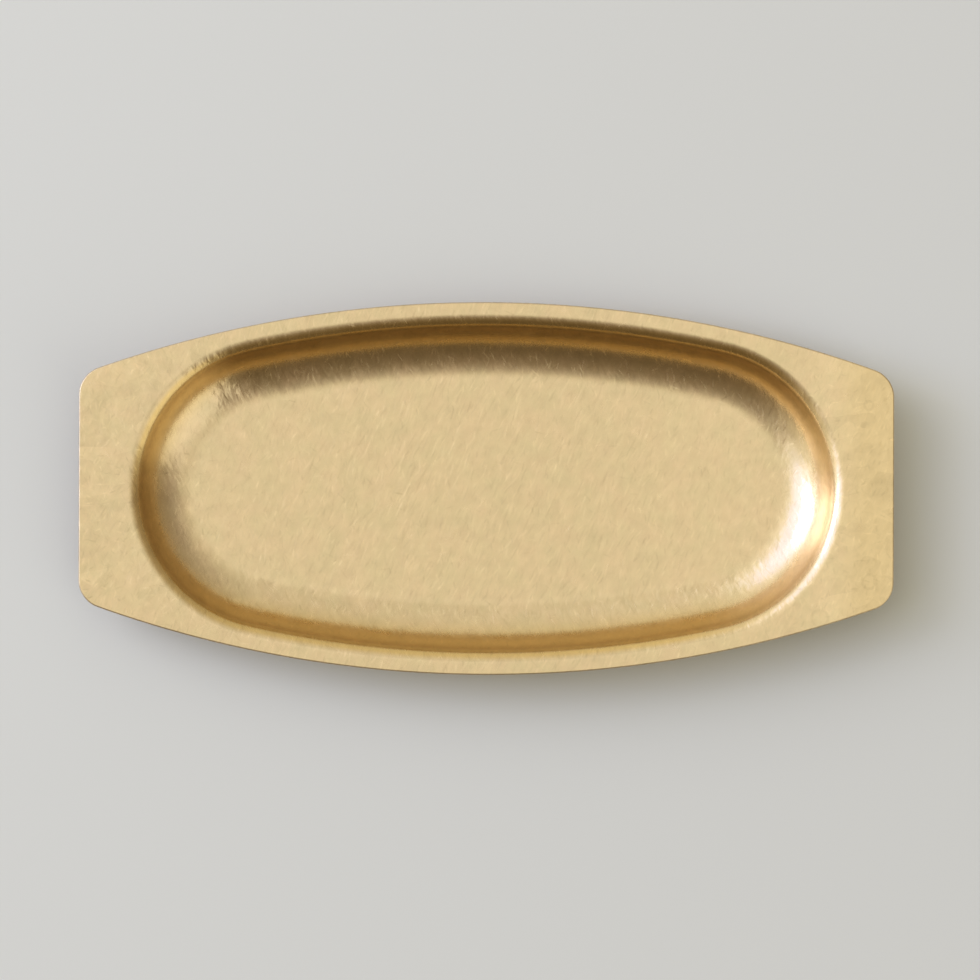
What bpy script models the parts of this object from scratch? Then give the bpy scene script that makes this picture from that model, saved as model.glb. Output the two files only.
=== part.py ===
"""Oval tray, press-formed from one sheet of brass.

Metres, with +Z up. The origin is the middle of the underside, on the plane that
the tray rests on. X runs along the tray and Y across it. The tray is the same on
both sides of X and of Y, so its rings are worked out for the quarter where both
are positive, and turned over for the rest.
"""

import math

import bmesh
import bpy

MM = 0.001

# Outline of the trimmed sheet, seen from above
TRAY_LENGTH = 220.0 * MM
TRAY_WIDTH = 100.6 * MM  # at the middle, where the long sides bow out furthest
SIDE_RADIUS = 314.0 * MM  # each long side is one shallow arc
CORNER_RADIUS = 7.8 * MM

# The sheet itself
SHEET_THICKNESS = 1.0 * MM
EDGE_ROUND = 0.4 * MM  # tumbling wears the cut edge round

# Basin. Its plan is measured where the flat rim starts to bend down
RIM_WIDTH = 3.0 * MM  # flat part along the middle of each long side
EAR_WIDTH = 13.0 * MM  # flat part at each end, which the fingers lift
BASIN_SIDE_RADIUS = 300.0 * MM  # bowed slightly more than the outline
BASIN_DEPTH = 12.5 * MM  # top of the rim down to the top of the floor
WALL_SLOPE = math.radians(68.0)
SHOULDER_RADIUS = 4.0 * MM  # upper face of the bend from the rim into the wall
FLOOR_RADIUS = 14.5 * MM  # upper face of the bend from the wall into the floor

# How finely each stretch of a quarter is divided
END_STEPS = 5
CORNER_STEPS = 6
SHARED_SIDE_STEPS = 8
MIDDLE_SIDE_STEPS = 5
FLOOR_STEPS = 6
SHOULDER_STEPS = 4
EDGE_STEPS = 2

SHARPEST_SMOOTH_ANGLE = math.radians(35.0)

# Arc centres of the plan
SIDE_CENTRE_Y = TRAY_WIDTH / 2 - SIDE_RADIUS
BASIN_HALF_LENGTH = TRAY_LENGTH / 2 - EAR_WIDTH
BASIN_CENTRE_Y = TRAY_WIDTH / 2 - RIM_WIDTH - BASIN_SIDE_RADIUS
# The one radius at which the basin's end arc runs smoothly into both of its long sides
BASIN_END_RADIUS = (BASIN_SIDE_RADIUS**2 - BASIN_HALF_LENGTH**2 - BASIN_CENTRE_Y**2) / (
    2 * (BASIN_SIDE_RADIUS - BASIN_HALF_LENGTH)
)
BASIN_END_CENTRE_X = BASIN_HALF_LENGTH - BASIN_END_RADIUS
BASIN_JOIN_ANGLE = math.atan2(-BASIN_CENTRE_Y, BASIN_END_CENTRE_X)


def clear_scene():
    for old in list(bpy.data.objects):
        bpy.data.objects.remove(old, do_unlink=True)


def arc(centre_x, centre_y, radius, start, stop, steps):
    """Points from the start angle up to, but not at, the stop angle."""
    angles = [start + (stop - start) * i / steps for i in range(steps)]
    return [
        (centre_x + radius * math.cos(angle), centre_y + radius * math.sin(angle))
        for angle in angles
    ]


def outline_quarter():
    """The trimmed edge from the middle of the end round to the middle of the long side."""
    corner_x = TRAY_LENGTH / 2 - CORNER_RADIUS
    corner_rise = math.sqrt((SIDE_RADIUS - CORNER_RADIUS) ** 2 - corner_x**2)
    corner_y = SIDE_CENTRE_Y + corner_rise
    corner_turn = math.atan2(corner_rise, corner_x)
    middle = math.pi / 2
    end = [(TRAY_LENGTH / 2, corner_y * i / END_STEPS) for i in range(END_STEPS)]
    corner = arc(corner_x, corner_y, CORNER_RADIUS, 0.0, corner_turn, CORNER_STEPS)
    beside_end_arc = arc(
        0.0, SIDE_CENTRE_Y, SIDE_RADIUS, corner_turn, BASIN_JOIN_ANGLE, SHARED_SIDE_STEPS
    )
    beside_side_arc = arc(
        0.0, SIDE_CENTRE_Y, SIDE_RADIUS, BASIN_JOIN_ANGLE, middle, MIDDLE_SIDE_STEPS
    )
    return end + corner + beside_end_arc + beside_side_arc + [(0.0, TRAY_WIDTH / 2)]


def basin_quarter(outline, offset):
    """The basin's plan, grown outwards by offset, with one point inwards of each outline point."""
    points = []
    for x, y in outline:
        if math.atan2(y - BASIN_CENTRE_Y, x) < BASIN_JOIN_ANGLE:
            centre_x, centre_y, radius = BASIN_END_CENTRE_X, 0.0, BASIN_END_RADIUS
        else:
            centre_x, centre_y, radius = 0.0, BASIN_CENTRE_Y, BASIN_SIDE_RADIUS
        turn = math.atan2(y - centre_y, x - centre_x)
        reach = radius + offset
        points.append((centre_x + reach * math.cos(turn), centre_y + reach * math.sin(turn)))
    return points


def whole_ring(quarter, height):
    """The quarter turned over across Y and then across X, as one closed ring at a height."""
    half = quarter + [(-x, y) for x, y in reversed(quarter[:-1])]
    other_half = [(x, -y) for x, y in reversed(half[1:-1])]
    return [(x, y, height) for x, y in half + other_half]


def basin_section():
    """The upper face's section as (offset, height, slope), from the floor's edge up to the rim."""
    bend = 1 - math.cos(WALL_SLOPE)
    # A shallow basin has less room for the floor bend than its full radius
    floor_radius = min(FLOOR_RADIUS, BASIN_DEPTH / bend - SHOULDER_RADIUS)
    straight_rise = BASIN_DEPTH - (floor_radius + SHOULDER_RADIUS) * bend
    run = (floor_radius + SHOULDER_RADIUS) * math.sin(WALL_SLOPE)
    run += straight_rise / math.tan(WALL_SLOPE)
    rim_top = SHEET_THICKNESS + BASIN_DEPTH
    section = []
    for i in range(FLOOR_STEPS + 1):
        slope = WALL_SLOPE * i / FLOOR_STEPS
        rise = floor_radius * (1 - math.cos(slope))
        section.append((floor_radius * math.sin(slope) - run, SHEET_THICKNESS + rise, slope))
    for i in range(SHOULDER_STEPS + 1):
        slope = WALL_SLOPE * (1 - i / SHOULDER_STEPS)
        drop = SHOULDER_RADIUS * (1 - math.cos(slope))
        section.append((-SHOULDER_RADIUS * math.sin(slope), rim_top - drop, slope))
    return section


def sheet_rings():
    """Rings from the underside of the floor, out round the trimmed edge, to the top of the floor."""
    outline = outline_quarter()
    section = basin_section()
    upper = [
        whole_ring(basin_quarter(outline, offset), height)
        for offset, height, slope in section
    ]
    # The sheet keeps its thickness square to its face, so the underside is shifted along the slope
    lower = [
        whole_ring(
            basin_quarter(outline, offset + SHEET_THICKNESS * math.sin(slope)),
            height - SHEET_THICKNESS * math.cos(slope),
        )
        for offset, height, slope in section
    ]
    edge_bottom = whole_ring(outline, BASIN_DEPTH)
    edge_top = whole_ring(outline, BASIN_DEPTH + SHEET_THICKNESS)
    return lower + [edge_bottom, edge_top] + upper[::-1]


def brass():
    """Raw brass with a soft, tumbled surface."""
    material = bpy.data.materials.new("tumbled brass")
    material.use_nodes = True
    shader = material.node_tree.nodes["Principled BSDF"]
    shader.inputs["Base Color"].default_value = (0.72, 0.55, 0.31, 1.0)
    shader.inputs["Metallic"].default_value = 1.0
    shader.inputs["Roughness"].default_value = 0.35
    return material


def tray_pressing():
    """The whole tray: one closed sheet, with its cut edge worn round."""
    mesh = bpy.data.meshes.new("tray_pressing")
    tray = bpy.data.objects.new("tray_pressing", mesh)
    bpy.context.scene.collection.objects.link(tray)
    bm = bmesh.new()
    rings = [[bm.verts.new(point) for point in ring] for ring in sheet_rings()]
    for ring, above in zip(rings, rings[1:]):
        for i in range(len(ring)):
            bm.faces.new((ring[i - 1], ring[i], above[i], above[i - 1]))
    bm.faces.new(rings[0])
    bm.faces.new(rings[-1])
    bmesh.ops.recalc_face_normals(bm, faces=bm.faces)
    bm.to_mesh(mesh)
    bm.free()
    mesh.materials.append(brass())
    worn_edge = tray.modifiers.new("worn edge", "BEVEL")
    worn_edge.width = EDGE_ROUND
    worn_edge.segments = EDGE_STEPS
    worn_edge.limit_method = "ANGLE"
    worn_edge.angle_limit = math.radians(60.0)
    mesh.shade_smooth()
    mesh.set_sharp_from_angle(angle=SHARPEST_SMOOTH_ANGLE)
    return tray


clear_scene()
tray_pressing()
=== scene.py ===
"""Oval brass tray on a pale sheet, seen from straight above in soft window light."""
import math

import bmesh
import bpy
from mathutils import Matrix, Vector


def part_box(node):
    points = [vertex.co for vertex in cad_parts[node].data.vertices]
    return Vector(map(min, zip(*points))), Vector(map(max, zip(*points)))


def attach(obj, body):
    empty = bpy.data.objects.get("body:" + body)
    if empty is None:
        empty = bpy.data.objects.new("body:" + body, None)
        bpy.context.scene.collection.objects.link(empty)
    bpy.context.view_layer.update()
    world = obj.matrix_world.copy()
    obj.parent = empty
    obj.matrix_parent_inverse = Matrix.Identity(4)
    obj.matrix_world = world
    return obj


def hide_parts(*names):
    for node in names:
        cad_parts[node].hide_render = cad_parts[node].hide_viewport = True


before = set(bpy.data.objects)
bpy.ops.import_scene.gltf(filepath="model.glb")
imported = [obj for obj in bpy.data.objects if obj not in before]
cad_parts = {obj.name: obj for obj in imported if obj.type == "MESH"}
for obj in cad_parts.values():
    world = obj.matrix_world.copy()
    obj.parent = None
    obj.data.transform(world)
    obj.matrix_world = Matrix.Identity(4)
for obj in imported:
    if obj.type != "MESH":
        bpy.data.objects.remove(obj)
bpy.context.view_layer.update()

MM = 0.001

# The tray's own sizes, the same as in the solid model
TRAY_LOW, TRAY_HIGH = (Vector(corner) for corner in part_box("tray_pressing"))
TRAY_LENGTH = TRAY_HIGH.x - TRAY_LOW.x
TRAY_WIDTH = TRAY_HIGH.y - TRAY_LOW.y
RIM_TOP = TRAY_HIGH.z
SIDE_RADIUS = 314.0 * MM
CORNER_RADIUS = 7.8 * MM
SHEET_THICKNESS = 1.0 * MM
EDGE_ROUND = 0.4 * MM
RIM_WIDTH = 3.0 * MM
EAR_WIDTH = 13.0 * MM
BASIN_SIDE_RADIUS = 300.0 * MM
BASIN_DEPTH = RIM_TOP - SHEET_THICKNESS
WALL_SLOPE = math.radians(68.0)
SHOULDER_RADIUS = 4.0 * MM
FLOOR_RADIUS = 14.5 * MM

# How finely a quarter of the tray is divided, fine enough for smooth reflections
END_STEPS = 14
CORNER_STEPS = 14
SHARED_SIDE_STEPS = 24
MIDDLE_SIDE_STEPS = 16
FLOOR_STEPS = 24
WALL_STEPS = 3
SHOULDER_STEPS = 14
EDGE_STEPS = 5

# The sheet laid flat again fills this much of the texture square, upper face above the lower
PLAN_SPAN = 240.0 * MM
PLAN_SHIFT = 59.0 * MM

SIDE_CENTRE_Y = TRAY_WIDTH / 2 - SIDE_RADIUS
BASIN_HALF_LENGTH = TRAY_LENGTH / 2 - EAR_WIDTH
BASIN_CENTRE_Y = TRAY_WIDTH / 2 - RIM_WIDTH - BASIN_SIDE_RADIUS
BASIN_END_RADIUS = (BASIN_SIDE_RADIUS**2 - BASIN_HALF_LENGTH**2 - BASIN_CENTRE_Y**2) / (
    2 * (BASIN_SIDE_RADIUS - BASIN_HALF_LENGTH)
)
BASIN_END_CENTRE_X = BASIN_HALF_LENGTH - BASIN_END_RADIUS
BASIN_JOIN_ANGLE = math.atan2(-BASIN_CENTRE_Y, BASIN_END_CENTRE_X)


def linear(hex_colour):
    """An sRGB hex colour as linear red, green, blue and alpha."""
    parts = [int(hex_colour[i:i + 2], 16) / 255 for i in (1, 3, 5)]
    curve = [c / 12.92 if c <= 0.04045 else ((c + 0.055) / 1.055) ** 2.4 for c in parts]
    return (*curve, 1.0)


def add_node(tree, kind, links=None, **settings):
    """A node with its settings, and its inputs set to values or linked to outputs.

    Another node, given for an input, stands for its own first output."""
    node = tree.nodes.new("ShaderNode" + kind)
    for name, value in settings.items():
        setattr(node, name, value)
    for name, value in (links or {}).items():
        if isinstance(value, bpy.types.Node):
            value = value.outputs[0]
        if isinstance(value, bpy.types.NodeSocket):
            tree.links.new(value, node.inputs[name])
        else:
            node.inputs[name].default_value = value
    return node


def set_stops(node, stops):
    """The stops of a colour ramp, as (position, grey level or colour)."""
    elements = node.color_ramp.elements
    while len(elements) < len(stops):
        elements.new(1.0)
    for element, (position, colour) in zip(elements, stops):
        element.position = position
        element.color = colour if hasattr(colour, "__len__") else (colour, colour, colour, 1.0)


PAPER = linear("#D4D3CB")
PAPER_ROUGHNESS = 0.9
BACKDROP = linear("#D2D1CD")
PAPER_SPAN = 8.0
PAPER_GAP = 0.1 * MM

# Raw brass, a touch rosy or olive where tarnish starts, and browner on the right ear.
# The walls are coloured browner too, as painted shade
ROSY_BRASS = linear("#D7C29B")
OLIVE_BRASS = linear("#DDC49E")
AMBER_BRASS = linear("#D6BE93")
SHADE_BROWN_BRASS = linear("#D5B67B")
# Roughness where the clouds of tarnish begin and are full, and what walls and cut edge add
ROUGHNESS = (0.19, 0.23)
WALL_ROUGHNESS = 0.09
EDGE_ROUGHNESS = 0.4
# The marks bow by up to half of BOW mm either way, over some BOW_WAVE mm
BOW_WAVE = 7.0
BOW = 1.2
# A mark fades in between these shares of its half length and half width
MARK_BORDER = (1.0, 0.3)
# The share of the marks' lean that shows on the flats and on the walls
FLAT_CALM = 0.5
WALL_CALM = 0.12
# Sizes of the natural patches in mm, and the noise levels where the clouds begin and are full
RUBBED_PATCH = 3.5
CLOUD = 8.0
CLOUD_LEVELS = (0.3, 0.7)
# Changes of tone: patches, the right end and its ear, painted shade right under the shoulder,
# the cut edge
RUBBED_TONE = 0.085
BRIGHTER = 0.05
PAINTED_SHOULDER_SHADE = 0.16
EDGE_DARKER = 0.3
# How strong a kind of mark is where it is faintest: those of the left, right and middle of the
# tray, and those of the flats where they reach the bends
FAINT_LEFT = 0.45
FAINT_RIGHT = 0.1
FAINT_MIDDLE = 0.55
FAINT_BENDS = 0.3
# Where changes start and are complete, in mm along the tray from its middle
LEFT_REACH = (-10.0, -70.0)
RIGHT_REACH = (20.0, 75.0)
MIDDLE_REACH = (75.0, 20.0)
ENDS_REACH = (55.0, 100.0)
EAR_REACH = (84.0, 95.0)
AMBER_REACH = (91.0, 104.0)
# The same for slopes, as shares of the wall's slope, and for heights above the table. The
# browning and the darkening they bound are painted shade on the walls
BEND_STEEP = (0.05, 0.25)
SHADE_BROWN_STEEP = (0.12, 0.5)
WALL_STEEP = (0.45, 0.8)
SHADE_BROWN_HEIGHTS = (1.2 * MM, 7.5 * MM)
SHOULDER_SHADE_HEIGHTS = (6.5 * MM, 11.5 * MM)

# Dried water marks: middle x and y, ring radius and half width in mm, and how much darker.
# WATER_CORE is the share of the half width that is fully dark
WATER_CORE = 0.4
WATER_MARKS = (
    (101.7, 17.4, 0.0, 1.1, 0.10),
    (103.1, 22.8, 1.2, 0.45, 0.07),
    (94.7, 19.0, 0.0, 0.7, 0.06),
    (103.4, -24.8, 1.9, 0.5, 0.07),
    (90.1, -34.7, 2.2, 0.5, 0.06),
    (106.8, 0.6, 0.0, 5.4, 0.09),
    (101.2, -11.5, 0.0, 3.4, 0.04),
    (105.0, 11.0, 0.0, 2.6, 0.05),
    (97.5, 8.0, 0.0, 2.6, 0.03),
)

# Towards the end of the basin whose walls reflect the window, how far that way the painted
# brown shade fades, in mm, and how much of it is left
WINDOW_LIT_WAY = (0.94, -0.34, 0.0)
WINDOW_LIT_REACH = (62.0, 84.0)
WINDOW_LIT_SHADE_SHARE = 0.3

# Brightness of the room as the tray sees it, for headings in degrees from the right end round
ROOM_LEVELS = (
    (0, 0.36), (24, 0.42), (48, 0.55), (72, 0.80), (90, 0.96), (108, 1.06), (124, 1.18),
    (194, 1.20), (204, 1.00), (214, 0.68), (226, 0.38), (240, 0.22), (264, 0.165), (284, 0.19),
    (296, 0.30), (300, 1.22), (320, 1.28), (344, 1.22), (349, 0.53), (360, 0.365),
)
# How much of the ceiling's brightness takes over, by elevation in degrees on the ceiling's side
CEILING_WAY = Vector((0.12, 0.08, 1.0)).normalized()
CEILING_SHARES = (
    (22, 0.0), (36, 0.06), (48, 0.13), (58, 0.29), (66, 0.51), (74, 0.83), (81, 1.0)
)
CEILING_LEVEL = 0.93
# A brighter panel straight above, slightly towards the left end. PANEL_BORDER says where it
# starts and is full, as shares of its reach along and across the tray
PANEL_LEVEL = 1.08
PANEL_WAY = (-0.06, 0.02, 1.0)
PANEL_REACH = (0.23, 0.24)
PANEL_BORDER = (1.08, 0.92)
ROOM_STRENGTH = 0.95
# The share of the room's light that falls on matt things. The side light makes up for the rest
MATT_SHARE = 0.88

# Daylight through a tall curtained window beyond the left end
WINDOW_COLOUR = linear("#C0D0FF")
WINDOW_HEADING = math.radians(166.0)
WINDOW_ELEVATION = math.radians(24.0)
WINDOW_DISTANCE = 1.5
WINDOW_WIDTH = 0.62
WINDOW_HEIGHT = 0.88
WINDOW_POWER = 7.6
# A side light gives the paper its shadow. Glossy rays don't see it, so the brass doesn't either
SIDE_COLOUR = linear("#FFFFFF")
SIDE_HEADING = math.radians(147.0)
SIDE_ELEVATION = math.radians(30.0)
SIDE_POWER = 5.8
# The wall round the window is lit by it too: fully within the second angle from GLOW_WAY, and
# not at all beyond the first
GLOW_WAY = Vector((-0.69, 0.29, 0.66)).normalized()
GLOW_ANGLES = (math.radians(42.0), math.radians(14.0))
GLOW_LEVEL = 0.4
# What is dim in the room is brown, what is bright is white, and what is brightest is blue. Each
# stop has half the brightness, and the linear red, green, blue and alpha of the light there
ROOM_TINTS = (
    (0.10, (1.0, 0.77, 0.48, 1.0)),
    (0.25, (1.0, 0.90, 0.73, 1.0)),
    (0.40, (1.0, 0.95, 0.77, 1.0)),
    (0.56, (1.0, 0.985, 0.87, 1.0)),
    (0.68, (1.0, 1.0, 0.93, 1.0)),
    (0.80, (1.0, 1.09, 1.65, 1.0)),
    (1.00, (1.0, 1.15, 2.3, 1.0)),
)

# The camera looks straight down. The tray's length and middle, and its turn, in the picture
CAMERA_HEIGHT = 1.3
SENSOR_WIDTH = 36.0
FRAME_PX = 980
TRAY_PX = 815.5
MIDDLE_X_PX = 3.7
MIDDLE_Y_PX = -1.4
TRAY_TURN = math.radians(0.18)
FURTHEST_SEEN = 50.0


def arc(centre_x, centre_y, radius, start, stop, steps):
    """Points from the start angle up to, but not at, the stop angle."""
    angles = [start + (stop - start) * i / steps for i in range(steps)]
    return [
        Vector((centre_x + radius * math.cos(angle), centre_y + radius * math.sin(angle)))
        for angle in angles
    ]


def outline_quarter(inset=0.0):
    """The trimmed edge, drawn in by inset, from the end's middle to the long side's."""
    corner_x = TRAY_LENGTH / 2 - CORNER_RADIUS
    corner_rise = math.sqrt((SIDE_RADIUS - CORNER_RADIUS) ** 2 - corner_x**2)
    corner_y = SIDE_CENTRE_Y + corner_rise
    corner_turn = math.atan2(corner_rise, corner_x)
    middle = math.pi / 2
    radius = SIDE_RADIUS - inset
    end_x = TRAY_LENGTH / 2 - inset
    end = [Vector((end_x, corner_y * i / END_STEPS)) for i in range(END_STEPS)]
    corner = arc(corner_x, corner_y, CORNER_RADIUS - inset, 0.0, corner_turn, CORNER_STEPS)
    shared = arc(0.0, SIDE_CENTRE_Y, radius, corner_turn, BASIN_JOIN_ANGLE, SHARED_SIDE_STEPS)
    side = arc(0.0, SIDE_CENTRE_Y, radius, BASIN_JOIN_ANGLE, middle, MIDDLE_SIDE_STEPS)
    return end + corner + shared + side + [Vector((0.0, TRAY_WIDTH / 2 - inset))]


def spokes():
    """For each point of the outline, the basin arc inside it: centre, radius and direction."""
    found = []
    for point in outline_quarter():
        if math.atan2(point.y - BASIN_CENTRE_Y, point.x) < BASIN_JOIN_ANGLE:
            centre, radius = Vector((BASIN_END_CENTRE_X, 0.0)), BASIN_END_RADIUS
        else:
            centre, radius = Vector((0.0, BASIN_CENTRE_Y)), BASIN_SIDE_RADIUS
        found.append((centre, radius, (point - centre).normalized()))
    return found


def whole_ring(quarter):
    """The quarter turned over across Y and then across X, as one closed ring."""
    half = quarter + [Vector((-p.x, p.y)) for p in reversed(quarter[:-1])]
    return half + [Vector((p.x, -p.y)) for p in reversed(half[1:-1])]


def basin_section(side):
    """One face's section from the floor's edge to the rim.

    Each station has its offset, height, distance along the face and slope. The side is 0 for
    the upper face and 1 for the underside, one sheet thickness away from it."""
    bend = 1 - math.cos(WALL_SLOPE)
    straight_rise = BASIN_DEPTH - (FLOOR_RADIUS + SHOULDER_RADIUS) * bend
    run = (FLOOR_RADIUS + SHOULDER_RADIUS) * math.sin(WALL_SLOPE)
    run += straight_rise / math.tan(WALL_SLOPE)
    stations = []
    for i in range(FLOOR_STEPS + 1):
        slope = WALL_SLOPE * i / FLOOR_STEPS
        offset = FLOOR_RADIUS * math.sin(slope) - run
        stations.append((offset, SHEET_THICKNESS + FLOOR_RADIUS * (1 - math.cos(slope)), slope))
    wall_foot = stations[-1]
    for i in range(1, WALL_STEPS):
        rise = straight_rise * i / WALL_STEPS
        offset = wall_foot[0] + rise / math.tan(WALL_SLOPE)
        stations.append((offset, wall_foot[1] + rise, WALL_SLOPE))
    for i in range(SHOULDER_STEPS + 1):
        slope = WALL_SLOPE * (1 - i / SHOULDER_STEPS)
        drop = SHOULDER_RADIUS * (1 - math.cos(slope))
        stations.append((-SHOULDER_RADIUS * math.sin(slope), RIM_TOP - drop, slope))
    depth = SHEET_THICKNESS * side
    section = []
    travel = 0.0
    for offset, height, slope in stations:
        offset += depth * math.sin(slope)
        height -= depth * math.cos(slope)
        if section:
            travel += math.hypot(offset - section[-1][0], height - section[-1][1])
        section.append((offset, height, travel, slope))
    return section


def sheet_rings():
    """Closed rings from the floor's underside round the edge to its upper face.

    Each has its side, its place and height, its place on the flattened sheet, how steep it is
    against the wall, and whether it is on the cut edge."""
    fan = spokes()
    rings = []
    for side in (1, 0):
        section = basin_section(side)
        floor_offset = section[0][0]
        face_rings = []
        for offset, height, travel, slope in section:
            place = [centre + (radius + offset) * way for centre, radius, way in fan]
            reach = floor_offset + travel
            flat = [centre + (radius + reach) * way for centre, radius, way in fan]
            face_rings.append((place, height, flat, slope / WALL_SLOPE, 0.0))
        # Beyond the bend the rim is flat already, and only moves outwards with what it joins
        stretch = floor_offset + section[-1][2] - section[-1][0]
        for i in range(EDGE_STEPS + 1):
            turn = math.pi / 2 * i / EDGE_STEPS
            inset = EDGE_ROUND * (1 - math.sin(turn))
            drop = EDGE_ROUND * (1 - math.cos(turn))
            height = RIM_TOP - drop if side == 0 else BASIN_DEPTH + drop
            place = outline_quarter(inset)
            travel = stretch + EDGE_ROUND * turn + inset - EDGE_ROUND
            flat = [point + way * travel for point, (_, _, way) in zip(place, fan)]
            face_rings.append((place, height, flat, 0.0, math.sin(turn)))
        if side == 0:
            face_rings.reverse()
        rings += [(side, *ring) for ring in face_rings]
    return rings


def fine_tray():
    """The tray as a smooth closed sheet, with the cut edge worn round by tumbling."""
    mesh = bpy.data.meshes.new("oval_tray")
    tray = bpy.data.objects.new("oval_tray", mesh)
    bpy.context.scene.collection.objects.link(tray)
    bm = bmesh.new()
    plan = bm.loops.layers.uv.new("OFBake")
    steep = bm.verts.layers.float.new("steepness")
    cut_edge = bm.verts.layers.float.new("cut_edge")
    rings = []
    for side, place, height, flat, steepness, edge in sheet_rings():
        verts = [bm.verts.new((p.x, p.y, height)) for p in whole_ring(place)]
        for vert in verts:
            vert[steep] = steepness
            vert[cut_edge] = edge
        shift = Vector((0.0, -PLAN_SHIFT if side else PLAN_SHIFT))
        spots = [(p + shift) / PLAN_SPAN + Vector((0.5, 0.5)) for p in whole_ring(flat)]
        rings.append((side, verts, spots))

    def add_face(corners, spots):
        face = bm.faces.new(corners)
        face.smooth = True
        for loop, spot in zip(face.loops, spots):
            loop[plan].uv = spot

    for (side, lower, lower_spots), (next_side, upper, upper_spots) in zip(rings, rings[1:]):
        # The band between the faces takes the underside's place on the plan, just outside it
        if next_side != side:
            middle = Vector((0.5, 0.5 - PLAN_SHIFT / PLAN_SPAN))
            gap = (SHEET_THICKNESS - 2 * EDGE_ROUND) / PLAN_SPAN
            upper_spots = [s + (s - middle).normalized() * gap for s in lower_spots]
        for i in range(len(lower)):
            add_face(
                (lower[i - 1], lower[i], upper[i], upper[i - 1]),
                (lower_spots[i - 1], lower_spots[i], upper_spots[i], upper_spots[i - 1]),
            )
    add_face(rings[-1][1], rings[-1][2])
    add_face(rings[0][1][::-1], rings[0][2][::-1])
    bm.to_mesh(mesh)
    bm.free()
    # Large flat faces keep the flats flat right up to the bends
    tray.modifiers.new("true flats", "WEIGHTED_NORMAL")
    return tray


def plan_in_mm(tree):
    """Where a point lies on the flattened sheet, in millimetres."""
    plan = add_node(tree, "UVMap", uv_map="OFBake")
    return add_node(tree, "VectorMath", {0: plan, "Scale": PLAN_SPAN / MM}, operation="SCALE")


def marks(tree, place, heading, spread, cell, shape, lean, share=1.0):
    """Straight marks, one in each cell of a net that is stretched along their heading.

    The heading, the most that a mark turns from it and the most that its floor leans are in
    degrees. A cell and the mark in it have a length and a width in mm. Without a shape, the
    mark fills its cell."""
    angle = math.radians(heading)
    slope = math.tan(math.radians(lean))
    along = add_node(
        tree, "VectorRotate", {"Vector": place, "Angle": -angle}, rotation_type="Z_AXIS"
    )
    shrunk = add_node(
        tree, "VectorMath", {0: along, 1: (1 / cell[0], 1 / cell[1], 0.0)}, operation="MULTIPLY"
    )
    cells = add_node(
        tree, "TexVoronoi", {"Vector": shrunk, "Scale": 1.0}, voronoi_dimensions="2D"
    )
    chance = add_node(tree, "SeparateColor", {"Color": cells.outputs["Color"]})
    turn = add_node(
        tree,
        "MapRange",
        {
            "Value": chance.outputs["Green"],
            "To Min": math.radians(-spread),
            "To Max": math.radians(spread),
        },
    )
    cover = share
    if shape:
        from_middle = add_node(
            tree, "VectorMath", {0: shrunk, 1: cells.outputs["Position"]}, operation="SUBTRACT"
        )
        in_mm = add_node(
            tree,
            "VectorMath",
            {0: from_middle, 1: (cell[0], cell[1], 0.0)},
            operation="MULTIPLY",
        )
        straight = add_node(
            tree,
            "VectorRotate",
            {"Vector": in_mm, "Angle": turn},
            rotation_type="Z_AXIS",
            invert=True,
        )
        fitted = add_node(
            tree,
            "VectorMath",
            {0: straight, 1: (2 / shape[0], 2 / shape[1], 0.0)},
            operation="MULTIPLY",
        )
        reach = add_node(tree, "VectorMath", {0: fitted}, operation="LENGTH")
        cover = add_node(
            tree,
            "MapRange",
            {
                "Value": reach.outputs["Value"],
                "From Min": MARK_BORDER[0],
                "From Max": MARK_BORDER[1],
                "To Max": share,
            },
            interpolation_type="SMOOTHSTEP",
        )
    steepness = add_node(
        tree, "MapRange", {"Value": chance.outputs["Red"], "To Min": -slope, "To Max": slope}
    )
    leaning = add_node(tree, "Math", {0: steepness, 1: cover}, operation="MULTIPLY")
    across = add_node(tree, "CombineXYZ", {"Y": leaning})
    facing = add_node(tree, "Math", {0: turn, 1: angle}, operation="ADD")
    tilt = add_node(
        tree, "VectorRotate", {"Vector": across, "Angle": facing}, rotation_type="Z_AXIS"
    )
    tone = add_node(
        tree, "MapRange", {"Value": chance.outputs["Blue"], "To Min": -1.0, "To Max": 1.0}
    )
    return tilt, add_node(tree, "Math", {0: tone, 1: cover}, operation="MULTIPLY")


def water_marks(tree, spot):
    """How much the dried water marks darken the right ear."""
    total = 0.0
    for x, y, ring, width, depth in WATER_MARKS:
        away = add_node(tree, "VectorMath", {0: spot, 1: (x, y, 0.0)}, operation="DISTANCE")
        off_ring = add_node(
            tree, "Math", {0: away.outputs["Value"], 1: ring}, operation="SUBTRACT"
        )
        off = add_node(tree, "Math", {0: off_ring}, operation="ABSOLUTE")
        mark = add_node(
            tree,
            "MapRange",
            {
                "Value": off,
                "From Min": width,
                "From Max": width * WATER_CORE,
                "To Max": depth,
            },
            interpolation_type="SMOOTHSTEP",
        )
        total = add_node(tree, "Math", {0: mark, 1: total}, operation="ADD")
    return total


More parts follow.
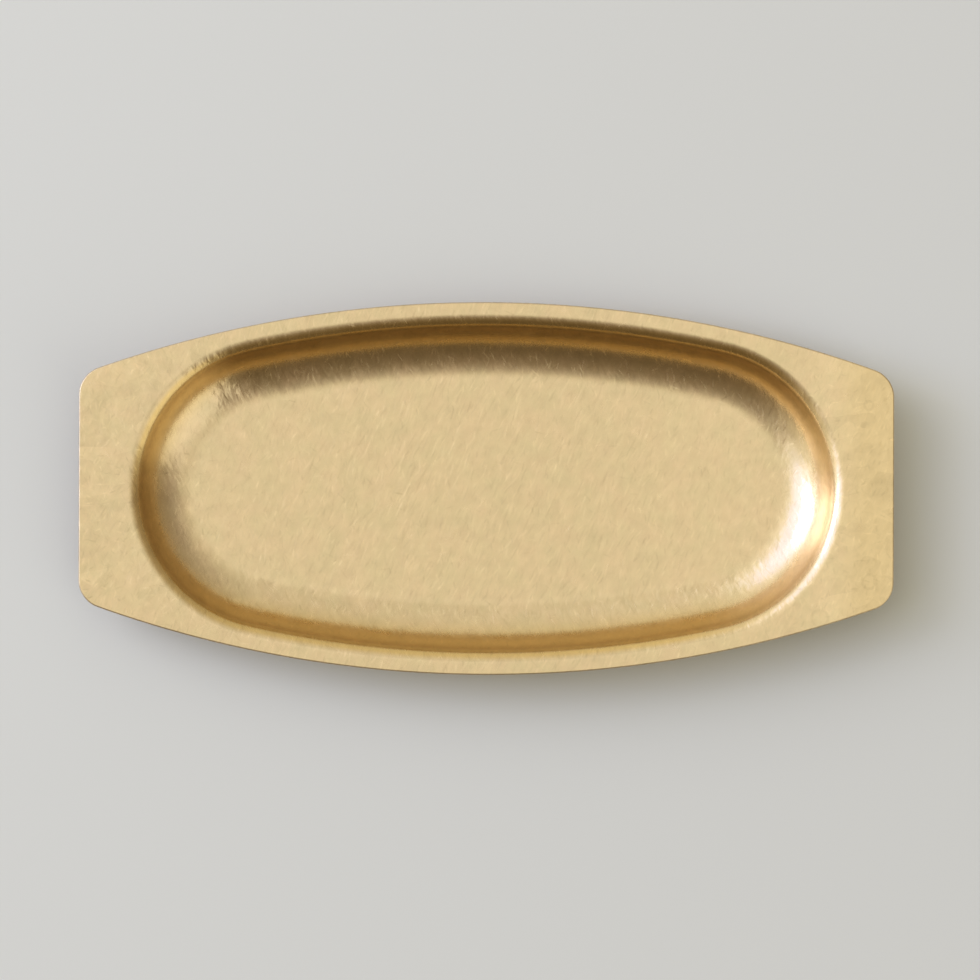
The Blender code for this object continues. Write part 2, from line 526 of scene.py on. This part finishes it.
def tumbled_brass():
    """Raw brass sheet, drawn and then tumbled in media: a satin skin of short crossing marks.

    The real marks are 0.02 to 0.1 mm wide. They are drawn 0.4 to 1 mm wide with soft borders,
    because a pixel of the picture is 0.27 mm."""
    material = bpy.data.materials.new("tumbled brass")
    material.use_nodes = True
    tree = material.node_tree
    shader = tree.nodes["Principled BSDF"]
    shader.inputs["Metallic"].default_value = 1.0
    place = plan_in_mm(tree)
    # Hands and media move in curves, so the marks bow
    bow = add_node(
        tree, "TexNoise", {"Vector": place, "Scale": 1 / BOW_WAVE}, noise_dimensions="2D"
    )
    bowed = add_node(
        tree,
        "VectorMath",
        {0: bow.outputs["Color"], 1: (BOW, BOW, 0.0), 2: place},
        operation="MULTIPLY_ADD",
    )
    object_place = add_node(tree, "TexCoord").outputs["Object"]
    spot = add_node(
        tree, "VectorMath", {0: object_place, 1: (1 / MM, 1 / MM, 0.0)}, operation="MULTIPLY"
    )
    along_tray = add_node(tree, "SeparateXYZ", {"Vector": spot}).outputs["X"]
    leftness = add_node(
        tree,
        "MapRange",
        {
            "Value": along_tray,
            "From Min": LEFT_REACH[0],
            "From Max": LEFT_REACH[1],
            "To Min": FAINT_LEFT,
        },
        interpolation_type="SMOOTHSTEP",
    )
    rightness = add_node(
        tree,
        "MapRange",
        {
            "Value": along_tray,
            "From Min": RIGHT_REACH[0],
            "From Max": RIGHT_REACH[1],
            "To Min": FAINT_RIGHT,
        },
        interpolation_type="SMOOTHSTEP",
    )

    steepness = add_node(tree, "Attribute", attribute_name="steepness").outputs["Fac"]
    cut_edge = add_node(tree, "Attribute", attribute_name="cut_edge").outputs["Fac"]
    bend = add_node(
        tree,
        "MapRange",
        {"Value": steepness, "From Min": BEND_STEEP[0], "From Max": BEND_STEEP[1]},
    )
    off_middle = add_node(tree, "Math", {0: along_tray}, operation="ABSOLUTE")
    middle = add_node(
        tree,
        "MapRange",
        {
            "Value": off_middle,
            "From Min": MIDDLE_REACH[0],
            "From Max": MIDDLE_REACH[1],
            "To Min": FAINT_MIDDLE,
        },
        interpolation_type="SMOOTHSTEP",
    )
    off_bends = add_node(
        tree, "MapRange", {"Value": bend, "To Min": 1.0, "To Max": FAINT_BENDS}
    )
    forward = add_node(tree, "Math", {0: middle, 1: off_bends}, operation="MINIMUM")
    backward = add_node(tree, "Math", {0: leftness, 1: bend}, operation="MAXIMUM")
    ends = add_node(
        tree,
        "MapRange",
        {"Value": off_middle, "From Min": ENDS_REACH[0], "From Max": ENDS_REACH[1]},
        interpolation_type="SMOOTHSTEP",
    )

    # Heading, spread, cell, shape, lean and share of the marks, as marks() takes them, and how
    # much they differ in tone and in haze. The layer at 20 degrees gives faint patches
    layers = (
        ((67.0, 0.0, (1.5, 0.40), None, 0.6, forward), 0.004, 0.0),
        ((120.0, 0.0, (1.4, 0.40), None, 0.6, backward), 0.004, 0.0),
        ((66.0, 0.0, (3.8, 0.8), None, 1.2, forward), 0.010, 0.01),
        ((114.0, 0.0, (3.2, 0.8), None, 1.6, backward), 0.006, 0.01),
        ((92.0, 0.0, (3.0, 0.8), None, 1.2, rightness), 0.006, 0.01),
        ((20.0, 0.0, (7.0, 4.0), None, 0.6, ends), 0.045, 0.02),
        ((68.0, 14.0, (6.6, 1.4), (6.6, 0.66), 2.4, forward), 0.075, 0.04),
        ((64.0, 16.0, (5.5, 2.1), (5.4, 1.00), 2.0, forward), 0.07, 0.04),
        ((114.0, 24.0, (4.6, 1.5), (4.4, 0.64), 2.4, backward), 0.05, 0.04),
        ((78.0, 30.0, (3.2, 1.8), (2.8, 0.72), 2.2), 0.08, 0.02),
        ((112.0, 20.0, (4.4, 1.3), (4.4, 0.50), 3.0, bend), 0.02, 0.10),
        ((74.0, 26.0, (3.2, 1.7), (3.0, 0.50), 3.0, bend), 0.02, 0.10),
        ((0.0, 90.0, (4.2, 4.2), (3.8, 0.58), 2.6), 0.065, 0.07),
        ((0.0, 90.0, (2.8, 2.8), (2.4, 0.66), 2.6, ends), -0.09, 0.0),
    )
    # The right end is rubbed a little brighter, its ear most of all
    tone = add_node(
        tree, "Math", {0: rightness, 1: BRIGHTER, 2: 1.0}, operation="MULTIPLY_ADD"
    )
    on_ear = add_node(
        tree,
        "MapRange",
        {
            "Value": along_tray,
            "From Min": EAR_REACH[0],
            "From Max": EAR_REACH[1],
            "To Max": BRIGHTER,
        },
        interpolation_type="SMOOTHSTEP",
    )
    tone = add_node(tree, "Math", {0: tone, 1: on_ear}, operation="ADD")
    # Soft patches that the media have rubbed more or less
    rubbing = add_node(
        tree,
        "TexNoise",
        {"Vector": place, "Scale": 1 / RUBBED_PATCH, "Detail": 2.0},
        noise_dimensions="2D",
    )
    rubbed_patch = add_node(
        tree, "MapRange", {"Value": rubbing, "To Min": -RUBBED_TONE, "To Max": RUBBED_TONE}
    )
    tone = add_node(tree, "Math", {0: tone, 1: rubbed_patch}, operation="ADD")
    tilt, haze = (0.0, 0.0, 0.0), 0.0
    for layer, contrast, blur in layers:
        lean, shade = marks(tree, bowed, *layer)
        tilt = add_node(tree, "VectorMath", {0: lean, 1: tilt}, operation="ADD")
        tone = add_node(
            tree, "Math", {0: shade, 1: contrast, 2: tone}, operation="MULTIPLY_ADD"
        )
        haze = add_node(tree, "Math", {0: shade, 1: blur, 2: haze}, operation="MULTIPLY_ADD")
    # The walls are rubbed least: their marks lean less and they are more matt. Their browner,
    # darker colour is painted shade
    wall = add_node(
        tree,
        "MapRange",
        {"Value": steepness, "From Min": WALL_STEEP[0], "From Max": WALL_STEEP[1]},
        interpolation_type="SMOOTHSTEP",
    )
    calm = add_node(
        tree, "MapRange", {"Value": wall, "To Min": FLAT_CALM, "To Max": WALL_CALM}
    )
    calm_tilt = add_node(tree, "VectorMath", {0: tilt, "Scale": calm}, operation="SCALE")
    packed = add_node(tree, "VectorMath", {0: calm_tilt, 1: (0.5, 0.5, 1.0)}, operation="ADD")
    normal = add_node(tree, "NormalMap", {"Color": packed}, uv_map="OFBake")
    tree.links.new(normal.outputs["Normal"], shader.inputs["Normal"])

    # Cloudy patches, more rosy or more olive, as tarnish starts on raw brass
    clouds = add_node(
        tree,
        "TexNoise",
        {"Vector": place, "Scale": 1 / CLOUD, "Detail": 3.0, "Roughness": 0.6},
        noise_dimensions="2D",
    )
    tint = add_node(tree, "ValToRGB", {"Fac": clouds})
    set_stops(tint, [(CLOUD_LEVELS[0], ROSY_BRASS), (CLOUD_LEVELS[1], OLIVE_BRASS)])
    # The right ear is a little more tarnished, more and more towards the tray's end
    ear = add_node(
        tree,
        "MapRange",
        {"Value": along_tray, "From Min": AMBER_REACH[0], "From Max": AMBER_REACH[1]},
        interpolation_type="SMOOTHSTEP",
    )
    amber = add_node(tree, "Mix", {0: ear, 6: tint, 7: AMBER_BRASS}, data_type="RGBA")
    height = add_node(tree, "SeparateXYZ", {"Vector": object_place}).outputs["Z"]
    above_floor = add_node(
        tree,
        "MapRange",
        {"Value": height, "From Min": SHADE_BROWN_HEIGHTS[0], "From Max": SHADE_BROWN_HEIGHTS[1]},
        interpolation_type="SMOOTHSTEP",
    )
    off_rim = add_node(
        tree,
        "MapRange",
        {"Value": steepness, "From Min": SHADE_BROWN_STEEP[0], "From Max": SHADE_BROWN_STEEP[1]},
        interpolation_type="SMOOTHSTEP",
    )
    # Shade is painted on the walls in brown, fading out at the end of the basin whose walls
    # reflect the window
    towards_end = add_node(tree, "VectorMath", {0: spot, 1: WINDOW_LIT_WAY}, operation="DOT_PRODUCT")
    shade_share = add_node(
        tree,
        "MapRange",
        {
            "Value": towards_end.outputs["Value"],
            "From Min": WINDOW_LIT_REACH[0],
            "From Max": WINDOW_LIT_REACH[1],
            "To Min": 1.0,
            "To Max": WINDOW_LIT_SHADE_SHARE,
        },
        interpolation_type="SMOOTHSTEP",
    )
    banded = add_node(tree, "Math", {0: above_floor, 1: off_rim}, operation="MULTIPLY")
    brown = add_node(tree, "Math", {0: banded, 1: shade_share}, operation="MULTIPLY")
    browned = add_node(
        tree, "Mix", {0: brown, 6: amber.outputs[2], 7: SHADE_BROWN_BRASS}, data_type="RGBA"
    )
    # Right under the shoulder the walls are darkened most, as painted shade
    shoulder_shade = add_node(
        tree,
        "MapRange",
        {
            "Value": height,
            "From Min": SHOULDER_SHADE_HEIGHTS[0],
            "From Max": SHOULDER_SHADE_HEIGHTS[1],
            "To Max": PAINTED_SHOULDER_SHADE,
        },
        interpolation_type="SMOOTHSTEP",
    )
    painted_wall_shade = add_node(tree, "Math", {0: shoulder_shade, 1: wall}, operation="MULTIPLY")
    tone_and_shade = add_node(tree, "Math", {0: tone, 1: painted_wall_shade}, operation="SUBTRACT")
    # The sheared edge is darker than the faces
    edged = add_node(
        tree, "Math", {0: cut_edge, 1: -EDGE_DARKER, 2: tone_and_shade}, operation="MULTIPLY_ADD"
    )
    stain = water_marks(tree, spot)
    stained = add_node(tree, "Math", {0: edged, 1: stain}, operation="SUBTRACT")
    colour = add_node(
        tree, "VectorMath", {0: browned.outputs[2], "Scale": stained}, operation="SCALE"
    )
    tree.links.new(colour.outputs["Vector"], shader.inputs["Base Color"])

    rough = add_node(
        tree,
        "MapRange",
        {
            "Value": clouds,
            "From Min": CLOUD_LEVELS[0],
            "From Max": CLOUD_LEVELS[1],
            "To Min": ROUGHNESS[0],
            "To Max": ROUGHNESS[1],
        },
    )
    duller = add_node(
        tree, "Math", {0: wall, 1: WALL_ROUGHNESS, 2: rough}, operation="MULTIPLY_ADD"
    )
    dullest = add_node(
        tree, "Math", {0: cut_edge, 1: EDGE_ROUGHNESS, 2: duller}, operation="MULTIPLY_ADD"
    )
    hazy = add_node(tree, "Math", {0: haze, 1: 0.0}, operation="MAXIMUM")
    total = add_node(tree, "Math", {0: dullest, 1: hazy}, operation="ADD")
    tree.links.new(total.outputs["Value"], shader.inputs["Roughness"])
    return material


def pale_paper():
    """Smooth uncoated paper: dead matt."""
    material = bpy.data.materials.new("pale paper")
    material.use_nodes = True
    shader = material.node_tree.nodes["Principled BSDF"]
    shader.inputs["Base Color"].default_value = PAPER
    shader.inputs["Roughness"].default_value = PAPER_ROUGHNESS
    return material


def light_room():
    """The room round the tray: bright overhead and to the left, dark at the front and right.

    A bright opening lies between the front and the right end."""
    world = bpy.data.worlds.new("studio")
    bpy.context.scene.world = world
    world.use_nodes = True
    tree = world.node_tree
    tree.nodes.clear()
    way = add_node(tree, "TexCoord").outputs["Generated"]
    parts = add_node(tree, "SeparateXYZ", {"Vector": way}).outputs
    heading = add_node(tree, "Math", {0: parts["Y"], 1: parts["X"]}, operation="ARCTAN2")
    turns = add_node(
        tree, "Math", {0: heading, 1: 0.5 / math.pi, 2: 1.0}, operation="MULTIPLY_ADD"
    )
    turn = add_node(tree, "Math", {0: turns}, operation="FRACT")
    around = add_node(tree, "ValToRGB", {"Fac": turn})
    set_stops(around, [(degrees / 360.0, level) for degrees, level in ROOM_LEVELS])
    upward = add_node(tree, "VectorMath", {0: way, 1: CEILING_WAY}, operation="DOT_PRODUCT")
    rise = add_node(tree, "ValToRGB", {"Fac": upward.outputs["Value"]})
    set_stops(
        rise, [(math.sin(math.radians(degrees)), share) for degrees, share in CEILING_SHARES]
    )
    room = add_node(
        tree, "MapRange", {"Value": rise, "To Min": around, "To Max": CEILING_LEVEL}
    )
    from_panel = add_node(tree, "VectorMath", {0: way, 1: PANEL_WAY}, operation="SUBTRACT")
    panel_scale = (1 / PANEL_REACH[0], 1 / PANEL_REACH[1], 0.0)
    scaled = add_node(
        tree, "VectorMath", {0: from_panel, 1: panel_scale}, operation="MULTIPLY"
    )
    distance = add_node(tree, "VectorMath", {0: scaled}, operation="LENGTH")
    brighter = PANEL_LEVEL - CEILING_LEVEL
    panel = add_node(
        tree,
        "MapRange",
        {
            "Value": distance.outputs["Value"],
            "From Min": PANEL_BORDER[0],
            "From Max": PANEL_BORDER[1],
            "To Max": brighter,
        },
        interpolation_type="SMOOTHSTEP",
    )
    facing = add_node(tree, "VectorMath", {0: way, 1: GLOW_WAY}, operation="DOT_PRODUCT")
    glow_reach = [math.cos(angle) for angle in GLOW_ANGLES]
    glow = add_node(
        tree,
        "MapRange",
        {
            "Value": facing.outputs["Value"],
            "From Min": glow_reach[0],
            "From Max": glow_reach[1],
            "To Max": GLOW_LEVEL,
        },
        interpolation_type="SMOOTHSTEP",
    )
    unlit = add_node(tree, "Math", {0: room, 1: panel}, operation="ADD")
    level = add_node(tree, "Math", {0: unlit, 1: glow}, operation="ADD")
    brightness = add_node(tree, "Math", {0: level, 1: 0.5}, operation="MULTIPLY")
    tint = add_node(tree, "ValToRGB", {"Fac": brightness})
    set_stops(tint, ROOM_TINTS)
    ray = add_node(tree, "LightPath").outputs
    reach = add_node(
        tree,
        "MapRange",
        {
            "Value": ray["Is Diffuse Ray"],
            "To Min": ROOM_STRENGTH,
            "To Max": ROOM_STRENGTH * MATT_SHARE,
        },
    )
    strength = add_node(tree, "Math", {0: level, 1: reach}, operation="MULTIPLY")
    lit = add_node(tree, "Background", {"Color": tint, "Strength": strength})
    seen = add_node(tree, "Background", {"Color": BACKDROP})
    mix = add_node(tree, "MixShader", {0: ray["Is Camera Ray"], 1: lit, 2: seen})
    add_node(tree, "OutputWorld", {"Surface": mix})


def hang_lamp(name, colour, power, heading, elevation):
    """A tall soft lamp of the window's size, beyond the left end of the tray and facing it."""
    light = bpy.data.lights.new(name, "AREA")
    light.shape = "RECTANGLE"
    light.size = WINDOW_WIDTH
    light.size_y = WINDOW_HEIGHT
    light.energy = power
    light.color = colour[:3]
    lamp = bpy.data.objects.new(name, light)
    bpy.context.scene.collection.objects.link(lamp)
    level_reach = WINDOW_DISTANCE * math.cos(elevation)
    lamp.location = (
        level_reach * math.cos(heading),
        level_reach * math.sin(heading),
        WINDOW_DISTANCE * math.sin(elevation),
    )
    lamp.rotation_euler = (-lamp.location).to_track_quat("-Z", "Y").to_euler()
    return lamp


def lay_paper():
    """The sheet of paper that the tray lies on, a hair below its underside."""
    bpy.ops.mesh.primitive_plane_add(size=PAPER_SPAN, location=(0.0, 0.0, -PAPER_GAP))
    ground = bpy.context.object
    ground.name = "paper_ground"
    ground.data.materials.append(pale_paper())


def make_camera():
    """The camera straight above, with the tray as large and as turned as in the photograph."""
    camera_data = bpy.data.cameras.new("above")
    camera = bpy.data.objects.new("above", camera_data)
    bpy.context.scene.collection.objects.link(camera)
    pixel = TRAY_LENGTH / TRAY_PX
    view_width = FRAME_PX * pixel
    camera_data.sensor_width = SENSOR_WIDTH
    camera_data.lens = SENSOR_WIDTH * (CAMERA_HEIGHT - RIM_TOP) / view_width
    camera.location = (MIDDLE_X_PX * pixel, MIDDLE_Y_PX * pixel, CAMERA_HEIGHT)
    camera.rotation_euler = (0.0, 0.0, TRAY_TURN)
    camera_data.clip_end = FURTHEST_SEEN
    bpy.context.scene.camera = camera


tray = fine_tray()
tray.data.materials.append(tumbled_brass())
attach(tray, "root")
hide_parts("tray_pressing")
light_room()
hang_lamp("window", WINDOW_COLOUR, WINDOW_POWER, WINDOW_HEADING, WINDOW_ELEVATION)
side_light = hang_lamp(
    "side_light", SIDE_COLOUR, SIDE_POWER, SIDE_HEADING, SIDE_ELEVATION
)
side_light.visible_glossy = False
lay_paper()
make_camera()
bpy.context.scene.view_settings.view_transform = "Standard"
